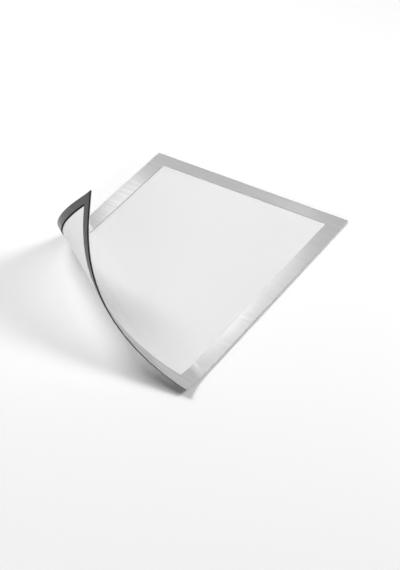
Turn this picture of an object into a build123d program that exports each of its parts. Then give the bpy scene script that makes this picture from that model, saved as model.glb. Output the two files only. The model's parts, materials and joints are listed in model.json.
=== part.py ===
"""Flexible magnetic frame for an A4 sheet, with its lower left corner curled up.

The frame lies on its magnetic strips with the window facing up. The origin is the
middle of the uncurled frame at the height of the surface it lies on, with +X along the
width, +Y up the sheet and +Z out of the window. Every layer is cut along the same fan
of folds across the corner, so each segment between two folds is flat and turns about
the front edge of its fold.
"""

import os
from math import atan2, cos, degrees, radians, sin, tan

from build123d import *

# Sheet shown in the window
sheet_width = 210.0
sheet_height = 297.0
sheet_thickness = 0.2
sheet_play = 0.5

# Magnetic strips round the back
strip_width = 12.0
strip_thickness = 1.15
strip_setback = 0.5

# Clear film over the whole front, and the silver face bonded round its edge
film_thickness = 0.25
face_width = 17.0
face_thickness = 0.5

# Fan of folds across the curled corner, evenly spaced up the frame's left edge. The
# first one ends on the right edge, and is measured up from the frame's bottom corners.
# The last one is measured where it crosses the sheet's left and bottom edges, up and
# along from the sheet's corner.
first_fold_up_left = 173.0
first_fold_up_right = 22.0
last_fold_up_sheet = 13.2
last_fold_along_sheet = 11.6
fold_angles = (18.0, 16.5, 15.0, 14.5, 15.0, 14.0, 11.5, 8.0, 6.0)
fold_gap = 0.2

# Overall sizes, and the height of each layer's back in the uncurled frame
margin = sheet_play + strip_width + strip_setback
frame_width = sheet_width + 2 * margin
frame_height = sheet_height + 2 * margin
sheet_back = strip_thickness - sheet_thickness
film_back = strip_thickness
face_back = film_back + film_thickness
front = face_back + face_thickness
reach = frame_width + frame_height


def fan_of_folds():
    """Each fold's start on the left edge, and its slant: the angle in degrees between
    the frame's width and the line square to the fold."""
    first_slant = atan2(frame_width, first_fold_up_left - first_fold_up_right)
    last_slant = atan2(last_fold_along_sheet, last_fold_up_sheet)
    last_fold_up_left = margin + last_fold_up_sheet + margin / tan(last_slant)
    steps = len(fold_angles) - 1
    found = []
    for index in range(steps + 1):
        share = index / steps
        up_left = first_fold_up_left + (last_fold_up_left - first_fold_up_left) * share
        slant = first_slant + (last_slant - first_slant) * share
        start = Vector(-frame_width / 2, up_left - frame_height / 2)
        found.append((start, degrees(slant)))
    return found


def toward_tip(slant):
    """Direction across a fold, to the tip of the curled corner."""
    return Vector(-cos(radians(slant)), -sin(radians(slant)))


def segment_planes():
    """The plane of each segment: the uncurled one first, then each bent on by its fold."""
    placed = Location()
    found = [Plane(placed)]
    for (start, slant), angle in zip(folds, fold_angles):
        along_fold = toward_tip(slant).cross(Vector(0, 0, 1))
        hinge = Plane(origin=start + Vector(0, 0, front), x_dir=along_fold).location
        bend = hinge * Location((0, 0, 0), (angle, 0, 0)) * hinge.inverse()
        placed = placed * bend
        found.append(Plane(placed))
    return found


folds = fan_of_folds()
planes = segment_planes()
segment_names = ["flat"] + [f"bend_{number + 1}" for number in range(len(folds))]


def keep_segment(segment):
    """Cuts the sketch that is being drawn down to what lies in one segment."""
    from_fold = (Align.MIN, Align.CENTER)
    if segment < len(folds):
        start, slant = folds[segment]
        edge = start - toward_tip(slant) * fold_gap / 2
        with Locations((edge.X, edge.Y)):
            Rectangle(reach, 2 * reach, rotation=slant + 180, align=from_fold, mode=Mode.SUBTRACT)
    if segment > 0:
        start, slant = folds[segment - 1]
        edge = start + toward_tip(slant) * fold_gap / 2
        with Locations((edge.X, edge.Y)):
            Rectangle(reach, 2 * reach, rotation=slant, align=from_fold, mode=Mode.SUBTRACT)


def save(piece, name):
    """Labels a finished piece and writes it."""
    piece.part.label = name
    export_step(piece.part, f"parts/{name}.step")
    print(name, "volume", round(piece.part.volume, 1), "mm3")


def window_film(segment):
    """Clear film, as large as the frame, that carries everything else."""
    with BuildPart() as film:
        with BuildSketch(planes[segment].offset(film_back)):
            Rectangle(frame_width, frame_height)
            keep_segment(segment)
        extrude(amount=film_thickness)
    save(film, f"window_film_{segment_names[segment]}")


def silver_face(segment):
    """Silver band bonded on the film's front round the window."""
    window_width = frame_width - 2 * face_width
    window_height = frame_height - 2 * face_width
    with BuildPart() as face:
        with BuildSketch(planes[segment].offset(face_back)):
            Rectangle(frame_width, frame_height)
            Rectangle(window_width, window_height, mode=Mode.SUBTRACT)
            keep_segment(segment)
        extrude(amount=face_thickness)
    save(face, f"silver_face_{segment_names[segment]}")


def photo_sheet(segment):
    """Sheet behind the film, loose between the magnetic strips."""
    with BuildSketch(planes[segment].offset(sheet_back)) as outline:
        Rectangle(sheet_width, sheet_height)
        keep_segment(segment)
    if not outline.faces():
        return
    with BuildPart() as sheet:
        extrude(outline.sketch, amount=sheet_thickness)
    save(sheet, f"photo_sheet_{segment_names[segment]}")


def magnet_strip(side, segment):
    """One side's magnetic strip on the film's back, mitred where it meets its neighbours."""
    outer_x = frame_width / 2 - strip_setback
    outer_y = frame_height / 2 - strip_setback
    inner_x = outer_x - strip_width
    inner_y = outer_y - strip_width
    corners = {
        "left": [(-outer_x, -outer_y), (-inner_x, -inner_y), (-inner_x, inner_y), (-outer_x, outer_y)],
        "right": [(outer_x, -outer_y), (outer_x, outer_y), (inner_x, inner_y), (inner_x, -inner_y)],
        "bottom": [(-outer_x, -outer_y), (outer_x, -outer_y), (inner_x, -inner_y), (-inner_x, -inner_y)],
        "top": [(-outer_x, outer_y), (-inner_x, inner_y), (inner_x, inner_y), (outer_x, outer_y)],
    }
    with BuildSketch(planes[segment]) as outline:
        with BuildLine():
            Polyline(*corners[side], close=True)
        make_face()
        keep_segment(segment)
    if not outline.faces():
        return
    with BuildPart() as strip:
        extrude(outline.sketch, amount=strip_thickness)
    save(strip, f"magnet_{side}_{segment_names[segment]}")


os.makedirs("parts", exist_ok=True)
for segment in range(len(planes)):
    window_film(segment)
    silver_face(segment)
    photo_sheet(segment)
    for side in ("left", "right", "bottom", "top"):
        magnet_strip(side, segment)
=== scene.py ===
# Flexible magnetic frame for an A4 sheet, lying on a table with one corner curled up.
# Every layer is drawn in the plane of the flat frame, then bent along the model's folds.
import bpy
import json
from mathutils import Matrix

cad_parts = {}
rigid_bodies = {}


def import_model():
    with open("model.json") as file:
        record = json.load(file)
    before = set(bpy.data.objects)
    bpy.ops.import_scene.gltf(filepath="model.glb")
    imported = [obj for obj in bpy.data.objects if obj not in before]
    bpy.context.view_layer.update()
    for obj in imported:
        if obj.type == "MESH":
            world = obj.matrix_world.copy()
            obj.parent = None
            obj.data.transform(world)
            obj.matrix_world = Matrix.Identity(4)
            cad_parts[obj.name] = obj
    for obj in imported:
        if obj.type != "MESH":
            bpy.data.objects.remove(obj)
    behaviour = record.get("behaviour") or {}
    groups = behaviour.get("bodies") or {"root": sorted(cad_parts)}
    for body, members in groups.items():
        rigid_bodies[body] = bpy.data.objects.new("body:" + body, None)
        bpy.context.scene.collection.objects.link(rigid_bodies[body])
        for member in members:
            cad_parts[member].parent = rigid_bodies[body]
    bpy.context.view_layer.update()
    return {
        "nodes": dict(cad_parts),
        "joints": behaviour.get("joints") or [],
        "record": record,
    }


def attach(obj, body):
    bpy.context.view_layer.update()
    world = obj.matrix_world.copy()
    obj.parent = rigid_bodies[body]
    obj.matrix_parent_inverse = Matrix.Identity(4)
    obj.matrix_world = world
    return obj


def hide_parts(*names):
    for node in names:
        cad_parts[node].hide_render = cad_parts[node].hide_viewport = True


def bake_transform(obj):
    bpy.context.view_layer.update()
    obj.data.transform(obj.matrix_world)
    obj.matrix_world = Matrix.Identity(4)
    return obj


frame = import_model()

import json
import math

import bpy
import numpy as np
from mathutils import Matrix

mm = 0.001  # metres
tiny = 1e-9
weld = 1e-8  # metres, points nearer than this are one
onCorner = 1e-7  # metres, a line nearer to a corner than this goes through it
noiseRange = (0.3, 0.7)  # nearly all of a noise's values lie between these


def toLinear(hexColour):
    # one sRGB channel c becomes c / 12.92 near black, else ((c + 0.055) / 1.055) to the 2.4
    channels = np.array([int(hexColour[i:i + 2], 16) / 255 for i in (1, 3, 5)])
    low = channels / 12.92
    high = ((channels + 0.055) / 1.055) ** 2.4
    return (*np.where(channels <= 0.04045, low, high), 1.0)


def addNode(tree, kind, inputs={}, **settings):
    # adds one node. Settings are its own properties. Each input is a value, a node whose first
    # output is linked, or one of a node's other outputs
    node = tree.nodes.new("ShaderNode" + kind)
    for name, value in settings.items():
        setattr(node, name, value)
    for name, value in inputs.items():
        if isinstance(value, bpy.types.Node):
            value = value.outputs[0]
        if isinstance(value, bpy.types.NodeSocket):
            tree.links.new(value, node.inputs[name])
        else:
            node.inputs[name].default_value = value
    return node


def newMaterial(name):
    # an empty material and its node tree
    material = bpy.data.materials.new(name)
    material.use_nodes = True
    tree = material.node_tree
    tree.nodes.clear()
    return material, tree


camera = {
    "aim": (41.37, -11.16, 0.0),  # mm, the point that the middle of the picture shows
    "distance": 2021.2,  # mm
    "azimuth": 31.504,  # degrees round from the view along +Y
    "elevation": 38.753,
    "roll": 0.16,
    "focalPixels": 1996.5,
    "pixelsHigh": 570,  # the picture's longer side, which the sensor spans
    "sensor": 36.0,  # mm
    "near": 0.1,  # metres
    "far": 20.0,
}


def addCamera():
    # stands back from its aim by the distance, along azimuth and elevation. Its own right and
    # up are then turned by the roll
    azimuth, elevation, roll = (
        math.radians(camera[key]) for key in ("azimuth", "elevation", "roll")
    )
    level = math.cos(elevation)
    back = np.array([math.sin(azimuth) * level, -math.cos(azimuth) * level, math.sin(elevation)])
    right = np.array([math.cos(azimuth), math.sin(azimuth), 0.0])
    up = np.cross(back, right)
    rolledRight = right * math.cos(roll) + up * math.sin(roll)
    rolledUp = up * math.cos(roll) - right * math.sin(roll)
    place = (np.array(camera["aim"]) + back * camera["distance"]) * mm
    data = bpy.data.cameras.new("camera")
    data.sensor_width = camera["sensor"]
    data.lens = camera["focalPixels"] * camera["sensor"] / camera["pixelsHigh"]
    data.clip_start, data.clip_end = camera["near"], camera["far"]
    obj = bpy.data.objects.new("camera", data)
    matrix = np.eye(4)
    matrix[:3] = np.c_[rolledRight, rolledUp, back, place]
    bpy.context.scene.collection.objects.link(obj)
    obj.matrix_world = Matrix(matrix.tolist())
    bpy.context.scene.camera = obj


sizes = {
    # the whole frame laid flat, in mm. It is a hair narrower than the model's 236, because the
    # smooth bend carries its lower right corner 0.1 mm further out
    "width": 235.8,
    "height": 323.0,
    "front": 1.9,  # height of the silver face above the table
}


# The folds

def turnAbout(place, way, angle):
    # matrix of a turn by angle about the line through place along way
    x, y, z = way
    cross = np.array([[0, -z, y], [z, 0, -x], [-y, x, 0]])
    turn = np.eye(3) + math.sin(angle) * cross + (1 - math.cos(angle)) * cross @ cross
    matrix = np.eye(4)
    matrix[:3, :3] = turn
    matrix[:3, 3] = place - turn @ place
    return matrix


def readFolds():
    # the model gives each fold's axis in the curled frame; taking away the turns of the folds
    # before it puts the axis back into the flat one
    joints = frame["joints"]
    couplings = frame["record"]["behaviour"]["couplings"]
    ratios = {coupling["joint"]: coupling["ratio"] for coupling in couplings}
    ratios[joints[0]["name"]] = 1.0
    curl = math.radians(joints[0]["range_deg"][1])
    moved = [np.eye(4)]
    places, tips = [], []
    for joint in joints:
        place = np.array(joint["pos_m"])
        way = -np.array(joint["axis"])
        way /= np.linalg.norm(way)
        before = np.linalg.inv(moved[-1])
        flatPlace = before[:3, :3] @ place + before[:3, 3]
        flatWay = before[:3, :3] @ way
        places.append(flatPlace[:2])
        tips.append([-flatWay[1], flatWay[0]])
        moved.append(turnAbout(place, way, curl * ratios[joint["name"]]) @ moved[-1])
    return np.array(places), np.array(tips), np.array(moved)


foldPlaces, foldTips, moved = readFolds()
foldCount = len(foldPlaces)
bodies = [joint["parent"] for joint in frame["joints"]] + [frame["joints"][-1]["child"]]
frontHeight = sizes["front"] * mm
print(foldCount, "folds read")

# A line in the flat frame is (gx, gy, k): the points P with g . P = k, g towards the curled tip
foldLines = np.c_[foldTips, (foldTips * foldPlaces).sum(1)]


def unitLine(line):
    # the same line with g one long
    return line / np.hypot(line[0], line[1])


def seamLines():
    # between two folds, the line at the same distance from both. Outside the first and last,
    # half as far from the fold as the next fold is from the foot on it
    first, second = foldLines[0], foldLines[1]
    share = first[:2] @ second[:2]
    start = unitLine(first * (1 + share / 2) - second / 2)
    middles = [unitLine(foldLines[i] + foldLines[i + 1]) for i in range(foldCount - 1)]
    last, previous = foldLines[-1], foldLines[-2]
    share = last[:2] @ previous[:2]
    end = unitLine(last * (1 + share / 2) - previous / 2)
    return np.array([start, *middles, end])


seams = seamLines()


def reach(line, foot, tip):
    # how far along tip a point has to go from foot to reach the line
    return (line[2] - foot @ line[:2]) / (line[:2] @ tip)


def bend(zone, flat, depth):
    # places points of the flat frame, and gives each one's turn as a matrix. Zone 0 stays flat.
    # Zone i bends round fold i: the fold's own line is drawn in to the middle of a parabola
    # that touches both segments, and straight chords join it to the seams on either side.
    # The turn goes evenly from the one segment's to the next one's
    count = len(flat)
    if zone == 0:
        return np.c_[flat, frontHeight - depth], np.broadcast_to(np.eye(3), (count, 3, 3))
    at = zone - 1
    tip = foldTips[at]
    along = np.array([tip[1], -tip[0], 0.0])
    turnA, turnB = moved[at][:3, :3], moved[at + 1][:3, :3]
    distance = (flat - foldPlaces[at]) @ tip
    foot = flat - distance[:, None] * tip
    neighbours = [foldLines[i] for i in (at - 1, at + 1) if 0 <= i < foldCount]
    half = np.min([np.abs(foot @ line[:2] - line[2]) for line in neighbours], 0) / 2
    tip3 = np.append(tip, 0.0)
    wayA, wayB = turnA @ tip3, turnB @ tip3

    def onSegment(matrix, away):
        # the points this far from the fold, on the flat segment that matrix places
        points = np.c_[foot + away[:, None] * tip, frontHeight - depth]
        return points @ matrix[:3, :3].T + matrix[:3, 3]

    upMiddle = turnA[:, 2] + turnB[:, 2]
    upMiddle /= np.linalg.norm(upMiddle)
    hinge = np.c_[foot, np.full(count, frontHeight)] @ turnA.T + moved[at][:3, 3]
    middle = hinge + (half / 4)[:, None] * (wayB - wayA) - depth[:, None] * upMiddle
    toStart = reach(seams[at], foot, tip)
    toEnd = reach(seams[at + 1], foot, tip)
    before = np.clip(distance / toStart, 0, 1)[:, None]
    after = np.clip(distance / toEnd, 0, 1)[:, None]
    place = np.where(
        distance[:, None] < 0,
        middle * (1 - before) + onSegment(moved[at], toStart) * before,
        middle * (1 - after) + onSegment(moved[at + 1], toEnd) * after,
    )
    rigidA = distance <= toStart + tiny
    rigidB = distance >= toEnd - tiny
    place = np.where(rigidA[:, None], onSegment(moved[at], distance), place)
    place = np.where(rigidB[:, None], onSegment(moved[at + 1], distance), place)

    share = np.clip((distance + half) / (2 * half), 0, 1)[:, None]
    slope = (1 - share) * wayA + share * wayB
    slope /= np.linalg.norm(slope, axis=1)[:, None]
    curledAlong = np.broadcast_to(turnA @ along, (count, 3))
    up = np.cross(slope, curledAlong)
    up *= np.sign(up @ upMiddle)[:, None]
    curledAxes = np.stack([slope, curledAlong, up], 2)
    flatAxes = np.stack([tip3, along, [0.0, 0.0, 1.0]], 1)
    return place, curledAxes @ flatAxes.T


# The outlines and the lines across them

def outlineOf(corners):
    # outward directions and offsets of a convex outline's sides, from its corners in mm,
    # anticlockwise. A slanting side is a mitre, whose edges stay square, and a side that faces
    # the middle of the frame is a strip's inner one
    points = np.array(corners, float) * mm
    side = np.roll(points, -1, 0) - points
    out = np.c_[side[:, 1], -side[:, 0]] / np.linalg.norm(side, axis=1)[:, None]
    offset = (out * points).sum(1)
    rounded = np.where(offset < 0, strips["innerLip"], 1.0) * (np.abs(out).min(1) < tiny)
    return {"corners": points, "out": out, "offset": offset, "rounded": rounded}


def rectangle(width, height):
    # the outline of a sheet of this size round the middle
    x, y = width / 2, height / 2
    return outlineOf([(-x, -y), (x, -y), (x, y), (-x, y)])


def wayOf(lines):
    # the direction along each line, and its point nearest the origin
    return np.c_[-lines[:, 1], lines[:, 0]], lines[:, :2] * lines[:, 2:]


def crossing(lines, outline, inset=0.0):
    # where each line enters and leaves the outline drawn in by inset, along the line. Every
    # side bounds the line from one end, and a line that misses the outline leaves it first
    way, base = wayOf(lines)
    slope = way @ outline["out"].T
    offset = outline["offset"] - inset * outline["rounded"]
    with np.errstate(divide="ignore"):
        bound = (offset - base @ outline["out"].T) / slope
    return np.where(slope < 0, bound, -np.inf).max(1), np.where(slope > 0, bound, np.inf).min(1)


def rimOf(lines, outline, inset):
    # the same for the rim of a layer: a line through its corner only stays at that corner
    enter, leave = crossing(lines, outline, inset)
    middle = sum(crossing(lines, outline)) / 2
    missed = enter > leave
    return np.where(missed, middle, enter), np.where(missed, middle, leave)


def linesBetween(first, last, corners):
    # a fan of lines from first to last, with one through each corner that lies between them
    before = corners @ first[:2] - first[2]
    after = corners @ last[:2] - last[2]
    inside = (before > onCorner) & (after < -onCorner)
    share = np.unique(np.r_[0.0, (before / (before - after))[inside].round(12), 1.0])[:, None]
    lines = (1 - share) * first + share * last
    return lines / np.hypot(lines[:, 0], lines[:, 1])[:, None]


def linesOfZone(zone, outline, corners):
    # the lines across a zone that meet the outline: its seams, its fold and one through each
    # corner. The flat zone starts at the farthest corner, and the last one ends at the tip
    if zone == 0:
        stops = [np.append(seams[0][:2], (corners @ seams[0][:2]).min()), seams[0]]
    else:
        stops = [seams[zone - 1], foldLines[zone - 1], seams[zone]]
    tipEnd = (corners @ seams[-1][:2]).max()
    if zone == foldCount and tipEnd > seams[-1][2] + onCorner:
        stops.append(np.append(seams[-1][:2], tipEnd))
    parts = [linesBetween(a, b, corners) for a, b in zip(stops, stops[1:])]
    lines = np.concatenate([parts[0], *(part[1:] for part in parts[1:])])
    enter, leave = crossing(lines, outline)
    return lines[leave - enter > -weld]


# The layers

def insetCorners(outline, inset):
    # the corners of the outline drawn in by inset: where two neighbouring sides meet then
    sides = np.stack([outline["out"], np.roll(outline["out"], 1, 0)], 1)
    offset = outline["offset"] - inset * outline["rounded"]
    offsets = np.stack([offset, np.roll(offset, 1)], 1)
    return np.linalg.solve(sides, offsets[:, :, None])[:, :, 0]


rim = {
    "back": (-90, -60, -30, 0),  # degrees above the plane that the rim's back edge faces
    "front": (0, 45, 90),
}


def rimProfile(top, bottom, frontLip, backLip):
    # the rim from the back round to the front, with a quarter circle at either edge: how far
    # in, how deep, and the angle that the surface faces above the plane
    angles = np.radians([*rim["back"], *rim["front"]])
    isBack = np.arange(len(angles)) < len(rim["back"])
    lip = np.where(isBack, backLip, frontLip)
    inset = lip * (1 - np.cos(angles))
    depth = np.where(isBack, bottom - backLip, top + frontLip) - lip * np.sin(angles)
    return inset * mm, depth * mm, angles


def bandFaces(lineCount, ringCount):
    # quads between neighbouring lines all round the profile, then a ladder of quads that closes
    # each end. Also says which faces close an end
    k, j = np.meshgrid(np.arange(lineCount - 1), np.arange(ringCount), indexing="ij")
    k, j = k.ravel(), j.ravel()
    this, following = k * ringCount, (k + 1) * ringCount
    nextJ = (j + 1) % ringCount
    sides = np.c_[this + j, following + j, following + nextJ, this + nextJ]
    j = np.arange(ringCount // 2 - 1)
    ladder = np.c_[j, j + 1, ringCount - 2 - j, ringCount - 1 - j]
    faces = np.concatenate([sides, ladder, ladder[:, ::-1] + (lineCount - 1) * ringCount])
    return faces, np.arange(len(faces)) >= len(sides)


def bandPoints(lines, near, far, profile):
    # a closed band between two edges: along each line, the near rim, then the far rim in reverse
    inset, depth, angle = profile
    along = np.concatenate([near, far[::-1]]).T
    depths = np.r_[depth, depth[::-1]]
    angles = np.r_[angle, angle[::-1]]
    way, base = wayOf(lines)
    flat = base[:, None, :] + along[:, :, None] * way[:, None, :]
    count = len(lines)
    points = np.c_[flat.reshape(-1, 2), np.tile(depths, count)]
    return points, np.tile(angles, count), *bandFaces(count, len(depths))


def weldBands(bands):
    # joins the bands, welds equal points, and drops faces with no area and the pairs that
    # stand back to back where two bands meet. Each face keeps its own corners' angles
    counts = np.cumsum([0] + [len(band[0]) for band in bands])
    faces = np.concatenate([band[2] + start for band, start in zip(bands, counts)])
    points, angle, isEnd = (np.concatenate([band[i] for band in bands]) for i in (0, 1, 3))
    keys = np.round(points / weld).astype(np.int64)
    _, first, index = np.unique(keys, axis=0, return_index=True, return_inverse=True)
    welded = index.reshape(-1)[faces]
    repeated = welded == np.roll(welded, 1, 1)
    ordered = np.sort(welded, 1)
    distinct = 1 + (np.diff(ordered) > 0).sum(1)
    _, where, found = np.unique(ordered, axis=0, return_inverse=True, return_counts=True)
    keep = (distinct >= 3) & (found[where.reshape(-1)] == 1) & (repeated.sum(1) == 4 - distinct)
    angles = angle[faces[keep]]
    used, index = np.unique(welded[keep], return_inverse=True)
    return points[first][used], index.reshape(-1, 4), angles, isEnd[keep], ~repeated[keep]


def layerMesh(name, zone, bands, alongY):
    # welds the bands, bends them, and gives every corner of every face the direction that its
    # own place in the flat frame faces, turned with it: sideways by the cosine of the rim's
    # angle and up by its sine. Its plan runs along X, or along Y
    points, faces, angles, isEnd, kept = weldBands(bands)
    place, turn = bend(zone, points[:, :2], points[:, 2])
    flatPoints = points * [1, 1, -1]
    diagonalA = flatPoints[faces[:, 2]] - flatPoints[faces[:, 0]]
    diagonalB = flatPoints[faces[:, 3]] - flatPoints[faces[:, 1]]
    facing = np.cross(diagonalA, diagonalB)
    facing /= np.linalg.norm(facing, axis=1)[:, None]
    sideways = facing * [1, 1, 0]
    sideways /= np.maximum(np.linalg.norm(sideways, axis=1), tiny)[:, None]
    out, up = np.cos(angles)[:, :, None], np.sin(angles)[:, :, None]
    corner = out * sideways[:, None, :] + up * [0.0, 0.0, 1.0]
    corner = np.where(isEnd[:, None, None], facing[:, None, :], corner)
    corner = np.einsum("fcij,fcj->fci", turn[faces], corner)

    loops = [row[use].tolist() for row, use in zip(faces, kept)]
    mesh = bpy.data.meshes.new(name)
    mesh.from_pydata(place.tolist(), [], loops)
    mesh.polygons.foreach_set("use_smooth", np.ones(len(loops), bool))
    plan = points[:, [1, 0]] if alongY else points[:, :2]
    layer = mesh.uv_layers.new(name="plan")
    layer.data.foreach_set("uv", plan[faces[kept]].astype(np.float32).ravel())
    # 1 on the front, 0 on a cut edge, -1 on the back
    layer = mesh.attributes.new("up", "FLOAT", "CORNER")
    layer.data.foreach_set("value", up[kept].astype(np.float32).ravel())
    mesh.normals_split_custom_set(corner[kept].tolist())
    mesh.validate()
    mesh.update()
    return mesh


def addPiece(mesh, zone, material):
    # the flat piece rides its body, and one round a fold stays fixed where it was placed
    obj = bpy.data.objects.new(mesh.name, mesh)
    bpy.context.scene.collection.objects.link(obj)
    mesh.materials.append(material)
    if zone == 0:
        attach(obj, bodies[0])
    else:
        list(bendSpan(zone))
        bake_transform(obj)
    return obj


def segmentName(zone):
    # the ending that the model's nodes have
    return "flat" if zone == 0 else f"bend_{zone}"


def bendSpan(zone):
    # where a zone's bend starts and ends: along the slope at its fold, as far each way as the
    # nearest point of its two seams
    pair = np.array([seams[zone - 1], seams[zone]])
    way, base = wayOf(pair)
    flat = np.concatenate([base + along[:, None] * way for along in crossing(pair, frameOutline)])
    place, _ = bend(zone, flat, np.zeros(len(flat)))
    slope = (moved[zone - 1][:3, :3] + moved[zone][:3, :3]) @ np.append(foldTips[zone - 1], 0.0)
    slope /= np.linalg.norm(slope)
    middle = np.array(frame["joints"][zone - 1]["pos_m"])
    span = np.abs((place - middle) @ slope).min()
    return middle - slope * span, middle + slope * span


def wholeBands(lines, outline, profile):
    # one band from side to side
    near, far = np.array([rimOf(lines, outline, inset) for inset in profile[0]]).swapaxes(0, 1)
    return [bandPoints(lines, near, far, profile)]


def openBands(lines, outline, window, profile):
    # two bands, from the outline to the window on either side. Where a line misses the window
    # they meet on the mitre line, through the curled corner or the one across from it
    way, base = wayOf(lines)
    corner = np.where(lines[:, 2:] > 0, outline["corners"][0], outline["corners"][2])
    across = np.array([1.0, -1.0])
    split = ((corner - base) @ across) / (way @ across)
    edges = []
    for inset in profile[0]:
        start, end = rimOf(lines, outline, inset)
        enter, leave = crossing(lines, window, -inset)
        missed = enter > leave
        edges.append((start, np.where(missed, split, enter), np.where(missed, split, leave), end))
    nearA, farA, nearB, farB = np.array(edges).swapaxes(0, 1)
    return [bandPoints(lines, nearA, farA, profile), bandPoints(lines, nearB, farB, profile)]


def addLayer(stem, material, outline, top, bottom,
             lips=(0.0, 0.0), window=None, alongY=False):
    # one piece for each zone that the layer reaches. Each segment of the model between two folds
    # is hidden, and the piece round its first fold stands in its place
    profile = rimProfile(top, bottom, *lips)
    insets = [lip * mm for lip in lips if lip > 0]
    corners = [outline["corners"], *(insetCorners(outline, inset) for inset in insets)]
    if window is not None:
        corners += [window["corners"], *(insetCorners(window, -inset) for inset in insets)]
    corners = np.concatenate(corners)
    for zone in range(foldCount + 1):
        lines = linesOfZone(zone, outline, corners)
        if len(lines) < 2:
            continue
        if window is None:
            bands = wholeBands(lines, outline, profile)
        else:
            bands = openBands(lines, outline, window, profile)
        mesh = layerMesh(f"smooth_{stem}_{segmentName(zone)}", zone, bands, alongY)
        addPiece(mesh, zone, material)
    for zone in range(foldCount + 1):
        node = f"{stem}_{segmentName(zone)}"
        if node in frame["nodes"]:
            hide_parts(node)


# The materials. The plan is in metres, and a Mapping's scale turns it into one noise cell
# for each size given in mm

face = {
    "band": 17.0,  # mm
    "thickness": 0.5,
    "lip": 0.12,  # radius of the front's edges
    "sink": 0.02,  # pressed this far into the film, so that the two skins don't share a plane
    "colour": "#bababa",
    "streakColour": "#b1b1b1",
    "cutOrShadeColour": "#bcbcbd",  # of its cut edges and its glued back
    "roughness": 0.16,
    "roughnessChange": 0.004,
    "anisotropy": 0.4,
    "streakWidth": 0.9,  # mm
    "streakLength": 34.0,
    "broadStreaks": (0.3, 0.2),  # this many along and across for each fine one
    "streakRange": (0.7, 1.3),  # where nearly all sums of the two noises lie
    "metalFrom": 0.5,  # how far up it faces, 1 on the front, where the metal sets in
    "bump": 0.01,
    "bumpDepth": 0.05,  # mm
}


def brushedSilverFilm():
    # Metallised plastic film, brushed along the frame's short side. To the eye it is a pale grey
    # metal with faint streaks, whose gloss spreads across them
    material, tree = newMaterial("brushed silver film")
    plan = addNode(tree, "UVMap", uv_map="plan")
    length, width = face["streakLength"] * mm, face["streakWidth"] * mm
    finePlan = addNode(tree, "Mapping", {"Vector": plan, "Scale": (1 / length, 1 / width, 1)})
    along, across = face["broadStreaks"]
    broadScale = (along / length, across / width, 1)
    broadPlan = addNode(tree, "Mapping", {"Vector": plan, "Scale": broadScale})
    fine = addNode(tree, "TexNoise", {
        "Vector": finePlan,
        "Scale": 1.0,
        "Detail": 3.0,
        "Roughness": 0.6,
    })
    broad = addNode(tree, "TexNoise", {"Vector": broadPlan, "Scale": 1.0, "Detail": 1.0})
    both = addNode(tree, "Math", {0: fine, 1: broad}, operation="ADD")
    low, high = face["streakRange"]
    share = addNode(tree, "MapRange", {"Value": both, "From Min": low, "From Max": high})
    colour = addNode(tree, "Mix", {
        0: share,
        6: toLinear(face["streakColour"]),
        7: toLinear(face["colour"]),
    }, data_type="RGBA")
    up = addNode(tree, "Attribute", attribute_name="up").outputs["Fac"]
    onFront = addNode(tree, "MapRange", {"Value": up, "From Min": face["metalFrom"]})
    colourOrCutOrShade = addNode(tree, "Mix", {
        0: onFront,
        6: toLinear(face["cutOrShadeColour"]),
        7: colour.outputs[2],
    }, data_type="RGBA")
    roughness = addNode(tree, "MapRange", {
        "Value": share,
        "To Min": face["roughness"] + face["roughnessChange"],
        "To Max": face["roughness"] - face["roughnessChange"],
    })
    bump = addNode(tree, "Bump", {
        "Height": fine,
        "Strength": face["bump"],
        "Distance": face["bumpDepth"] * mm,
    })
    tangent = addNode(tree, "Tangent", direction_type="UV_MAP", uv_map="plan")
    shader = addNode(tree, "BsdfPrincipled", {
        "Base Color": colourOrCutOrShade.outputs[2],
        "Metallic": onFront,
        "Roughness": roughness,
        "Anisotropic": face["anisotropy"],
        "Anisotropic Rotation": 0.25,  # of a turn, so that the gloss spreads across the streaks
        "Tangent": tangent,
        "Normal": bump,
    })
    addNode(tree, "OutputMaterial", {"Surface": shader})
    return material


film = {
    "thickness": 0.25,  # mm
    "colour": "#f1f1f1",
    "grainColour": "#eeeeee",
    "grain": 0.9,  # mm
    "haze": 0.15,  # share of the film that hides what is behind it
    "ior": 1.57,
    "roughness": 0.34,
    "roughnessChange": 0.03,
    "bump": 0.05,
    "bumpDepth": 0.02,  # mm
}


def lowGlareFilm():
    # Clear polyester film with a fine matt coat, which takes the glare off and hazes what lies
    # behind it a little. The coat's grain is drawn ten times too coarse, so that it shows
    material, tree = newMaterial("low glare polyester film")
    plan = addNode(tree, "UVMap", uv_map="plan")
    cell = 1 / (film["grain"] * mm)
    grainPlan = addNode(tree, "Mapping", {"Vector": plan, "Scale": (cell, cell, 1)})
    grain = addNode(tree, "TexNoise", {"Vector": grainPlan, "Scale": 1.0, "Detail": 2.0})
    low, high = noiseRange
    share = addNode(tree, "MapRange", {"Value": grain, "From Min": low, "From Max": high})
    colour = addNode(tree, "Mix", {
        0: share,
        6: toLinear(film["grainColour"]),
        7: toLinear(film["colour"]),
    }, data_type="RGBA")
    roughness = addNode(tree, "MapRange", {
        "Value": share,
        "To Min": film["roughness"] - film["roughnessChange"],
        "To Max": film["roughness"] + film["roughnessChange"],
    })
    bump = addNode(tree, "Bump", {
        "Height": grain,
        "Strength": film["bump"],
        "Distance": film["bumpDepth"] * mm,
    })
    shader = addNode(tree, "BsdfPrincipled", {
        "Base Color": colour.outputs[2],
        "Roughness": roughness,
        "IOR": film["ior"],
        "Alpha": film["haze"],
        "Normal": bump,
    })
    addNode(tree, "OutputMaterial", {"Surface": shader})
    return material


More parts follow.
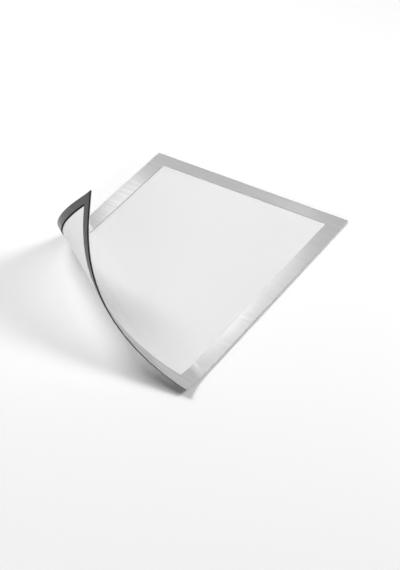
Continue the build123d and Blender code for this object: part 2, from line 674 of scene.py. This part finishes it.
sheet = {
    "width": 210.0,  # mm
    "height": 297.0,
    "gap": 0.05,  # to the film in front of it
    "thickness": 0.15,
    "colour": "#f2f2f2",
    "cloudColour": "#eeeeee",
    "cloud": 4.0,  # mm
    "fibreLength": 1.4,
    "fibreWidth": 0.5,
    "roughness": (0.86, 0.94),
    "bump": 0.1,
    "bumpDepth": 0.03,  # mm
}


def uncoatedPaper():
    # White office paper: a matt white with faint clouds where the fibres lie closer, and a nap
    # of fibres along the sheet
    material, tree = newMaterial("uncoated paper")
    plan = addNode(tree, "UVMap", uv_map="plan")
    cloudCell = 1 / (sheet["cloud"] * mm)
    fibreCells = (1 / (sheet["fibreWidth"] * mm), 1 / (sheet["fibreLength"] * mm), 1)
    cloudPlan = addNode(tree, "Mapping", {"Vector": plan, "Scale": (cloudCell, cloudCell, 1)})
    fibrePlan = addNode(tree, "Mapping", {"Vector": plan, "Scale": fibreCells})
    clouds = addNode(tree, "TexNoise", {
        "Vector": cloudPlan,
        "Scale": 1.0,
        "Detail": 4.0,
        "Roughness": 0.6,
    })
    fibres = addNode(tree, "TexNoise", {
        "Vector": fibrePlan,
        "Scale": 1.0,
        "Detail": 3.0,
        "Roughness": 0.7,
    })
    low, high = noiseRange
    share = addNode(tree, "MapRange", {"Value": clouds, "From Min": low, "From Max": high})
    colour = addNode(tree, "Mix", {
        0: share,
        6: toLinear(sheet["cloudColour"]),
        7: toLinear(sheet["colour"]),
    }, data_type="RGBA")
    roughness = addNode(tree, "MapRange", {
        "Value": fibres,
        "From Min": low,
        "From Max": high,
        "To Min": sheet["roughness"][0],
        "To Max": sheet["roughness"][1],
    })
    bump = addNode(tree, "Bump", {
        "Height": fibres,
        "Strength": sheet["bump"],
        "Distance": sheet["bumpDepth"] * mm,
    })
    shader = addNode(tree, "BsdfPrincipled", {
        "Base Color": colour.outputs[2],
        "Roughness": roughness,
        "Normal": bump,
    })
    addNode(tree, "OutputMaterial", {"Surface": shader})
    return material


strips = {
    "setback": 0.5,  # mm, from the film's edge
    "width": 12.0,
    "thickness": 1.15,
    "lip": 0.1,  # radius of the edges at the film
    "backLip": 1.05,  # radius of the rounded edges that lie on the table
    "innerLip": 1.9,  # times as wide on the side that faces the window
    "colour": "#2e2e2f",
    "dustColour": "#3f3f40",
    "cutOrShadeColour": "#0b0b0c",  # painted shade: near black on the walls and rounded edges, for their shadow line
    "roughness": 0.23,
    "roughnessChange": 0.06,
    "cutRoughness": 0.9,
    "specular": 0.2,
    "dust": (1.1, 1.1),  # mm along and across the strip
    "patch": (22.0, 22.0),
    "line": (40.0, 0.9),
    "patternRange": (1.1, 1.9),  # where nearly all sums of the three noises lie
    "shadeRange": (-0.98, -0.8),  # how far up it faces, -1 on the back, where the painted shade sets in
    "bump": 0.2,
    "bumpDepth": 0.05,  # mm
}


def magneticRubber():
    # Ferrite powder bound in rubber and extruded as a strip. To the eye it is dark grey with a
    # dull gloss, drawn lines along the strip, cloudy patches and a little pale dust. Its walls and
    # rounded edges are painted near black as shade, standing in for the shadow line along them
    material, tree = newMaterial("extruded magnetic rubber")
    plan = addNode(tree, "UVMap", uv_map="plan")
    dustPlan, patchPlan, linePlan = (
        addNode(tree, "Mapping", {"Vector": plan, "Scale": (1 / (long * mm), 1 / (wide * mm), 1)})
        for long, wide in (strips["dust"], strips["patch"], strips["line"])
    )
    dust = addNode(tree, "TexNoise", {
        "Vector": dustPlan,
        "Scale": 1.0,
        "Detail": 4.0,
        "Roughness": 0.7,
    })
    patches = addNode(tree, "TexNoise", {"Vector": patchPlan, "Scale": 1.0, "Detail": 2.0})
    drawn = addNode(tree, "TexNoise", {"Vector": linePlan, "Scale": 1.0, "Detail": 2.0})
    both = addNode(tree, "Math", {0: patches, 1: drawn}, operation="ADD")
    total = addNode(tree, "Math", {0: both, 1: dust}, operation="ADD")
    low, high = strips["patternRange"]
    share = addNode(tree, "MapRange", {"Value": total, "From Min": low, "From Max": high})
    colour = addNode(tree, "Mix", {
        0: share,
        6: toLinear(strips["colour"]),
        7: toLinear(strips["dustColour"]),
    }, data_type="RGBA")
    up = addNode(tree, "Attribute", attribute_name="up").outputs["Fac"]
    # painted shade: all but the flat back turns near black, so that the walls read as a shadow
    # line
    low, high = strips["shadeRange"]
    edgeShade = addNode(tree, "MapRange", {"Value": up, "From Min": low, "From Max": high})
    colourOrCutOrShade = addNode(tree, "Mix", {
        0: edgeShade,
        6: colour.outputs[2],
        7: toLinear(strips["cutOrShadeColour"]),
    }, data_type="RGBA")
    low, high = noiseRange
    grain = addNode(tree, "MapRange", {
        "Value": dust,
        "From Min": low,
        "From Max": high,
        "To Min": strips["roughness"] - strips["roughnessChange"],
        "To Max": strips["roughness"] + strips["roughnessChange"],
    })
    roughness = addNode(tree, "Mix", {0: edgeShade, 2: grain, 3: strips["cutRoughness"]})
    relief = addNode(tree, "Math", {0: drawn, 1: dust}, operation="ADD")
    bump = addNode(tree, "Bump", {
        "Height": relief,
        "Strength": strips["bump"],
        "Distance": strips["bumpDepth"] * mm,
    })
    shader = addNode(tree, "BsdfPrincipled", {
        "Base Color": colourOrCutOrShade.outputs[2],
        "Roughness": roughness,
        "Specular IOR Level": strips["specular"],
        "Normal": bump,
    })
    addNode(tree, "OutputMaterial", {"Surface": shader})
    return material


# The studio

def seenDirectly(tree):
    # 1 for what the camera sees by itself, in a reflection or through the film, and 0 for the
    # light on the object: the largest of Light Path's three answers
    path = addNode(tree, "LightPath").outputs
    either = addNode(tree, "Math", {
        0: path["Is Camera Ray"],
        1: path["Is Glossy Ray"],
    }, operation="MAXIMUM")
    return addNode(tree, "Math", {0: either, 1: path["Is Transmission Ray"]}, operation="MAXIMUM")


floor = {
    "colour": "#ffffff",
    "half": 6.0,  # metres from the middle to each side
    "squares": 8,  # along each side
    "below": 0.2,  # mm under the strips
    "fadeFrom": 0.42,  # metres from the middle, where it starts to fade into the background
    "fadeTo": 1.1,
}


def addFloor():
    # a pale table top, as a level grid from -half to half. It shows the shadow near the frame,
    # and fades into a white background further off, for the camera and in reflections only
    side = np.linspace(-floor["half"], floor["half"], floor["squares"] + 1)
    x, y = np.meshgrid(side, side)
    points = np.c_[x.ravel(), y.ravel(), np.full(x.size, -floor["below"] * mm)]
    first = np.arange(x.size).reshape(x.shape)[:-1, :-1].ravel()
    above = first + len(side)
    mesh = bpy.data.meshes.new("floor")
    mesh.from_pydata(points.tolist(), [], np.c_[first, first + 1, above + 1, above].tolist())
    obj = bpy.data.objects.new("floor", mesh)
    bpy.context.scene.collection.objects.link(obj)
    material, tree = newMaterial("white table top")
    place = addNode(tree, "TexCoord").outputs["Object"]
    away = addNode(tree, "VectorMath", {0: place}, operation="LENGTH").outputs["Value"]
    fade = addNode(tree, "MapRange", {
        "Value": away,
        "From Min": floor["fadeFrom"],
        "From Max": floor["fadeTo"],
    }, interpolation_type="SMOOTHSTEP")
    share = addNode(tree, "Math", {0: seenDirectly(tree), 1: fade}, operation="MULTIPLY")
    matt = addNode(tree, "BsdfDiffuse", {"Color": toLinear(floor["colour"])})
    white = addNode(tree, "Emission", {"Color": (1, 1, 1, 1), "Strength": 1.0})
    surface = addNode(tree, "MixShader", {0: share, 1: matt, 2: white})
    addNode(tree, "OutputMaterial", {"Surface": surface})
    mesh.materials.append(material)


background = {
    "ambient": 0.03,  # strength of its light on the object
}


def addBackground():
    # white behind everything for the camera and in reflections, a dimmer white as the light
    world = bpy.data.worlds.new("studio")
    world.use_nodes = True
    tree = world.node_tree
    tree.nodes.clear()
    strength = addNode(tree, "MapRange", {
        "Value": seenDirectly(tree),
        "To Min": background["ambient"],
        "To Max": 1.0,
    })
    light = addNode(tree, "Background", {"Color": (1, 1, 1, 1), "Strength": strength})
    addNode(tree, "OutputWorld", {"Surface": light})
    bpy.context.scene.world = world


lamps = {
    # three soft lamps for the light, then three small panels for the highlights on the silver.
    # Places, aims and sizes are in metres, power is in watts, and turned is the angle in degrees
    # from +X to the panel's width, which is level where there is none
    "left": {
        "place": (-0.96, 0.24, 1.28), "aim": (0.0, 0.0, 0.02),
        "size": (0.8, 0.8), "power": 19.0, "turned": None,
    },
    "back": {
        "place": (1.03, 0.59, 1.09), "aim": (0.0, 0.0, 0.02),
        "size": (0.6, 0.6), "power": 13.5, "turned": None,
    },
    "front": {
        "place": (0.40, -1.50, 0.41), "aim": (0.0, 0.0, 0.02),
        "size": (0.5, 0.5), "power": 8.5, "turned": None,
    },
    "leftBar": {
        "place": (-0.3045, 0.3846, 0.30), "aim": (-0.1095, 0.066, 0.0),
        "size": (0.08, 0.07), "power": 0.0176, "turned": -30.3,
    },
    "longBar": {
        "place": (-0.4105, 0.8496, 0.80), "aim": (0.1095, 0.0, 0.0),
        "size": (0.04, 0.26), "power": 0.068, "turned": -30.3,
    },
    "shortBar": {
        "place": (-0.4105, 0.8096, 0.80), "aim": (0.1095, -0.04, 0.0),
        "size": (0.04, 0.08), "power": 0.0252, "turned": -30.3,
    },
}


def addLamps():
    # flat panels that face their aim: the width is made square to the way from the aim
    for name, lamp in lamps.items():
        place = np.array(lamp["place"])
        data = bpy.data.lights.new(name, "AREA")
        data.shape = "RECTANGLE"
        data.size, data.size_y = lamp["size"]
        data.energy = lamp["power"]
        obj = bpy.data.objects.new(name, data)
        bpy.context.scene.collection.objects.link(obj)
        obj.visible_camera = False
        back = place - lamp["aim"]
        back /= np.linalg.norm(back)
        if lamp["turned"] is None:
            wide = np.cross([0.0, 0.0, 1.0], back)
        else:
            turned = math.radians(lamp["turned"])
            wide = np.array([math.cos(turned), math.sin(turned), 0.0])
        wide -= back * (wide @ back)
        wide /= np.linalg.norm(wide)
        matrix = np.eye(4)
        matrix[:3] = np.c_[wide, np.cross(back, wide), back, place]
        obj.matrix_world = Matrix(matrix.tolist())


addCamera()
addFloor()
addBackground()
addLamps()
bpy.context.scene.view_settings.view_transform = "Standard"
print("camera, floor and lamps made")

frameOutline = rectangle(sizes["width"], sizes["height"])
windowOutline = rectangle(sizes["width"] - 2 * face["band"], sizes["height"] - 2 * face["band"])
sheetOutline = rectangle(sheet["width"], sheet["height"])
filmBack = face["thickness"] + film["thickness"]  # depths below the front, as in every addLayer
sheetFront = filmBack + sheet["gap"]

addLayer("silver_face", brushedSilverFilm(), frameOutline,
         0.0, face["thickness"] + face["sink"], (face["lip"], 0.0), windowOutline)
addLayer("window_film", lowGlareFilm(), frameOutline,
         face["thickness"], filmBack)
addLayer("photo_sheet", uncoatedPaper(), sheetOutline,
         sheetFront, sheetFront + sheet["thickness"])

outerX = sizes["width"] / 2 - strips["setback"]
outerY = sizes["height"] / 2 - strips["setback"]
innerX, innerY = outerX - strips["width"], outerY - strips["width"]
rubber = magneticRubber()
for side, corners in {
    "left": [(-outerX, -outerY), (-innerX, -innerY), (-innerX, innerY), (-outerX, outerY)],
    "right": [(outerX, -outerY), (outerX, outerY), (innerX, innerY), (innerX, -innerY)],
    "bottom": [(-outerX, -outerY), (outerX, -outerY), (innerX, -innerY), (-innerX, -innerY)],
    "top": [(-outerX, outerY), (-innerX, innerY), (innerX, innerY), (outerX, outerY)],
}.items():
    addLayer(f"magnet_{side}", rubber, outlineOf(corners),
             filmBack, filmBack + strips["thickness"], (strips["lip"], strips["backLip"]),
             alongY=side in ("left", "right"))
